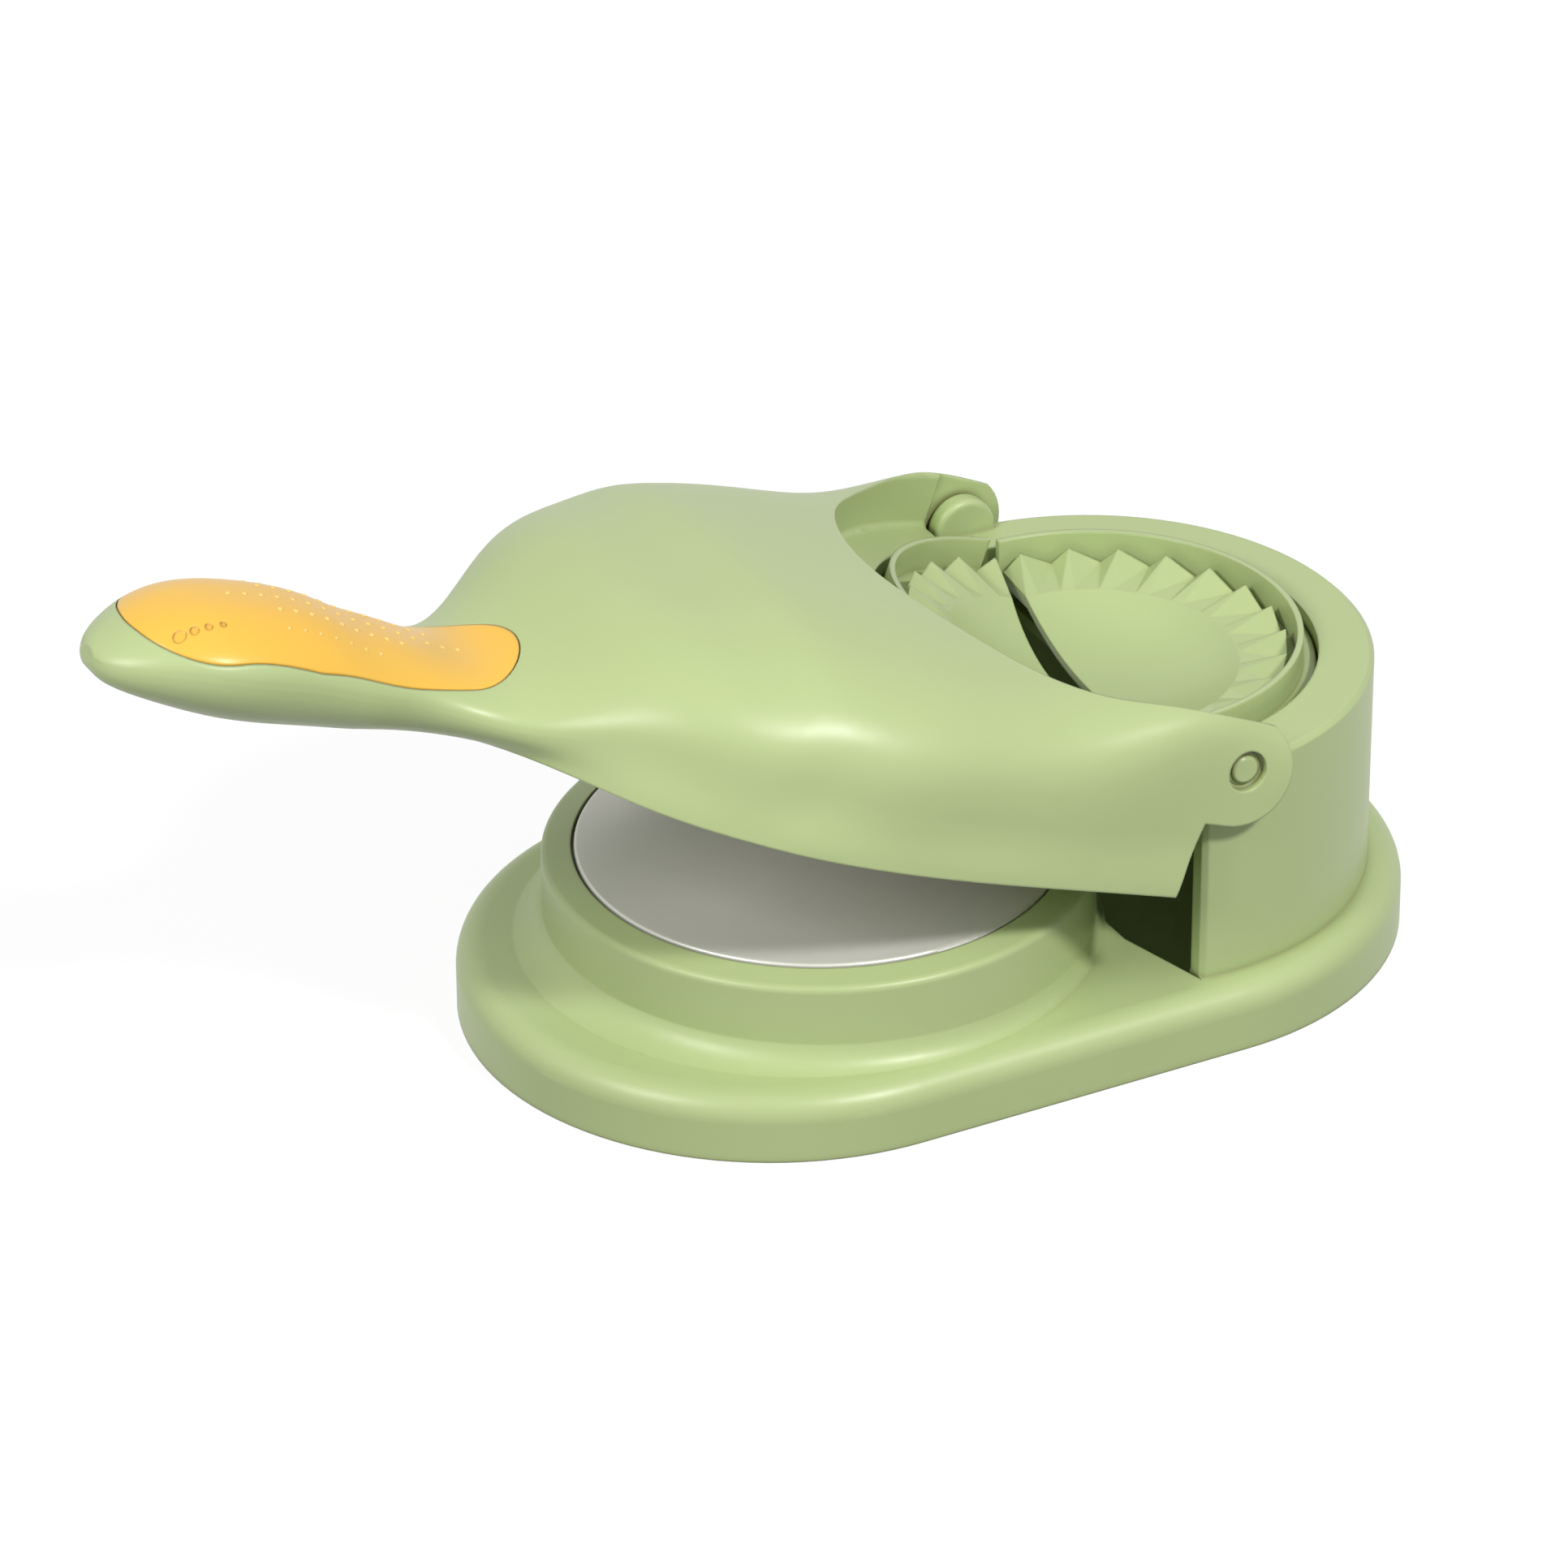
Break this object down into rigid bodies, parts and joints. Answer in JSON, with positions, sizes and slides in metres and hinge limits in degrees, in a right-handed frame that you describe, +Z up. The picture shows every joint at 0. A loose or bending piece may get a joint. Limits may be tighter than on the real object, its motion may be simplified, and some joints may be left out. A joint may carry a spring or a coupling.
{
  "type": "empanada press",
  "caption": "Two-in-one dough and empanada press with a round press plate and hinged half-moon crimping moulds.",
  "frame": {"origin": "on the table plane that the feet stand on, under the centre of the lower press plate", "axes": "+X from the press plate to the mould drum, so the handle points to -X; +Y along the hinge axis; +Z up"},
  "size_m": [0.2471, 0.1112, 0.1079],
  "materials": {
    "sage_plastic": "satin moulded plastic",
    "yellow_plastic": "satin moulded plastic",
    "plate_steel": "spun stainless steel",
    "pad_foam": "grey closed-cell foam",
    "screw_steel": "zinc-plated steel",
    "foot_rubber": "dark grey moulded rubber"
  },
  "bodies": {
    "base": {"base_shell": "sage_plastic", "bottom_cover": "sage_plastic", "bottom_cover_screws": "screw_steel", "lower_press_plate": "plate_steel", "lower_plate_pad": "pad_foam", "fixed_mould": "sage_plastic", "fixed_mould_screws": "screw_steel", "pivot_pin_near": "sage_plastic", "pivot_pin_far": "sage_plastic", "rubber_foot_1": "foot_rubber", "rubber_foot_2": "foot_rubber", "rubber_foot_3": "foot_rubber", "rubber_foot_4": "foot_rubber"},
    "arm": {"arm_shell": "sage_plastic", "handle_grip": "yellow_plastic", "grip_screws": "screw_steel", "arm_underside_cover": "sage_plastic", "underside_cover_screws": "screw_steel", "upper_press_plate": "plate_steel", "upper_plate_pad": "pad_foam", "moving_mould": "sage_plastic", "moving_mould_screws": "screw_steel"}
  },
  "joints": [
    {"name": "arm_hinge", "type": "hinge", "parent": "base", "child": "arm", "pos_m": [0.055, 0, 0.0545], "axis": [0, 1, 0], "range_deg": [-20.2, 159.8]}
  ]
}
